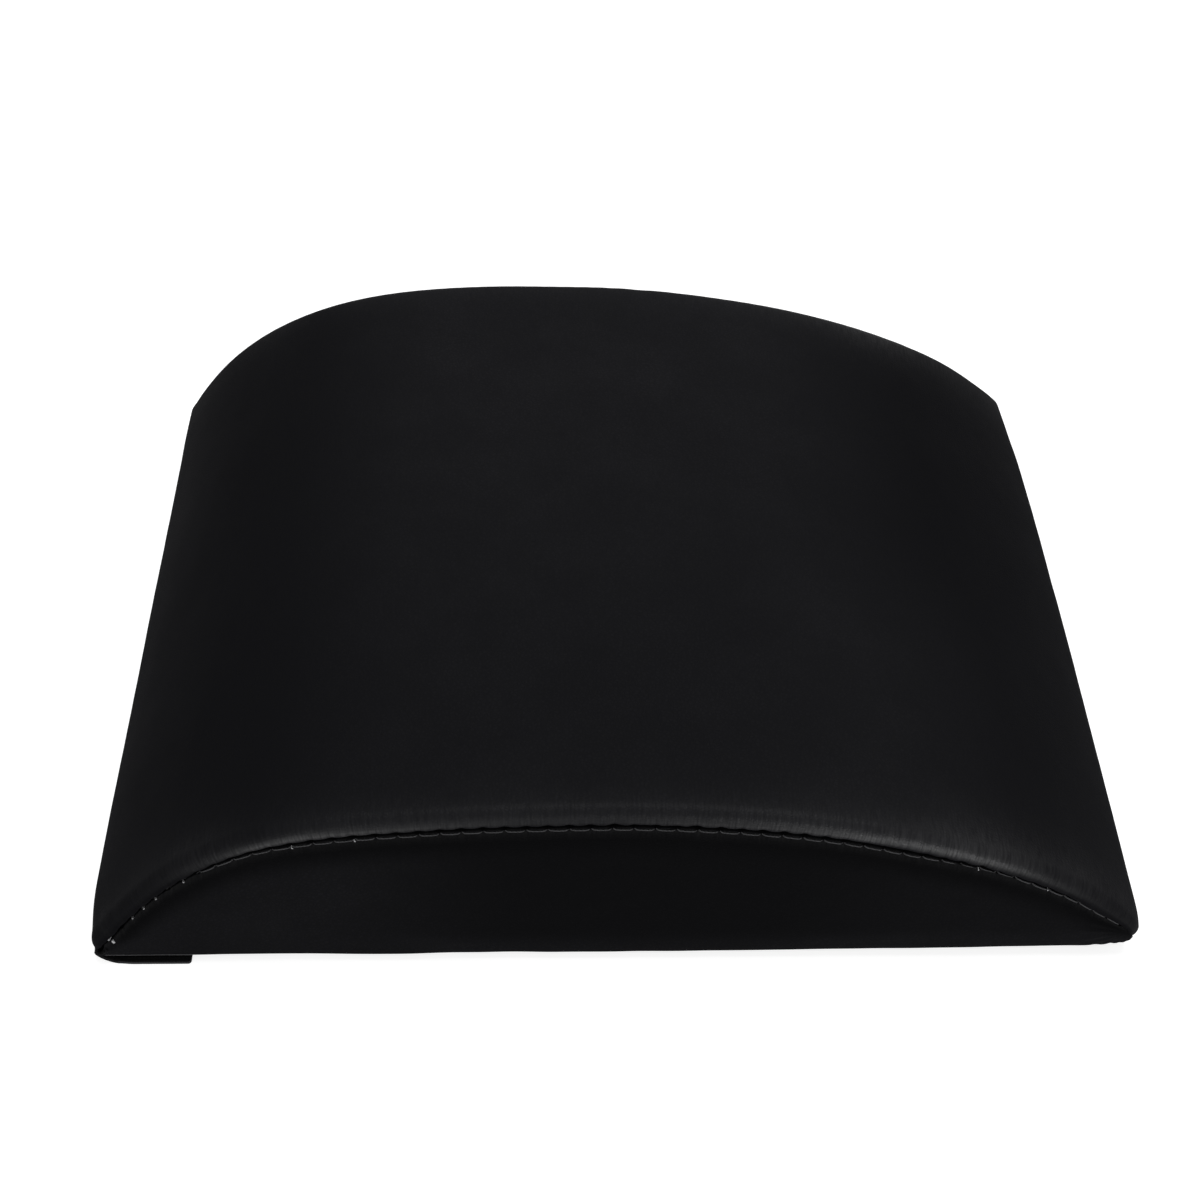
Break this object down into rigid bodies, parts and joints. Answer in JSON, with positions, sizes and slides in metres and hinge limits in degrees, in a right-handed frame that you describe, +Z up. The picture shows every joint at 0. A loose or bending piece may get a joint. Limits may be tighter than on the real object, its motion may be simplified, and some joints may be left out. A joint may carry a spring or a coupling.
{
  "type": "ab mat",
  "caption": "Low arched foam cushion in a black leather-look cover: steep nose, long gentle slope, stitched end panels and a fold-under closing flap. It supports the lower back in sit-ups.",
  "frame": {"origin": "on the floor below the middle of the mat, at the centre of its box's lowest face", "axes": "+X along the length towards the long gentle slope, so the steep nose and its flap are at -X; +Y across the mat, with the pictured end panel at -Y; +Z up"},
  "size_m": [0.38, 0.305, 0.083],
  "materials": {
    "cover_leather": "fine-grained black PU leather, satin",
    "end_leather": "fine-grained black PU leather, satin",
    "base_leather": "fine-grained black PU leather, matte",
    "flap_leather": "fine-grained black PU leather, satin",
    "hook_tape": "woven nylon tape with moulded hooks",
    "loop_tape": "brushed nylon loop tape",
    "thread": "bonded black sewing thread",
    "firm_foam": "charcoal open-cell foam, firm, matte",
    "soft_foam": "cream open-cell foam, softer, matte"
  },
  "bodies": {
    "mat": {"top_panel": "cover_leather", "front_end_panel": "end_leather", "rear_end_panel": "end_leather", "base_panel": "base_leather", "loop_strip": "loop_tape", "foam_base": "firm_foam", "foam_dome": "soft_foam", "front_topstitch": "thread", "rear_topstitch": "thread", "front_bar_tack": "thread", "rear_bar_tack": "thread"},
    "flap": {"closing_flap": "flap_leather", "hook_strip": "hook_tape"}
  },
  "joints": [
    {"name": "flap_fold", "type": "hinge", "parent": "mat", "child": "flap", "pos_m": [-0.18, 0, 0], "axis": [0, 1, 0], "range_deg": [0, 150]}
  ]
}
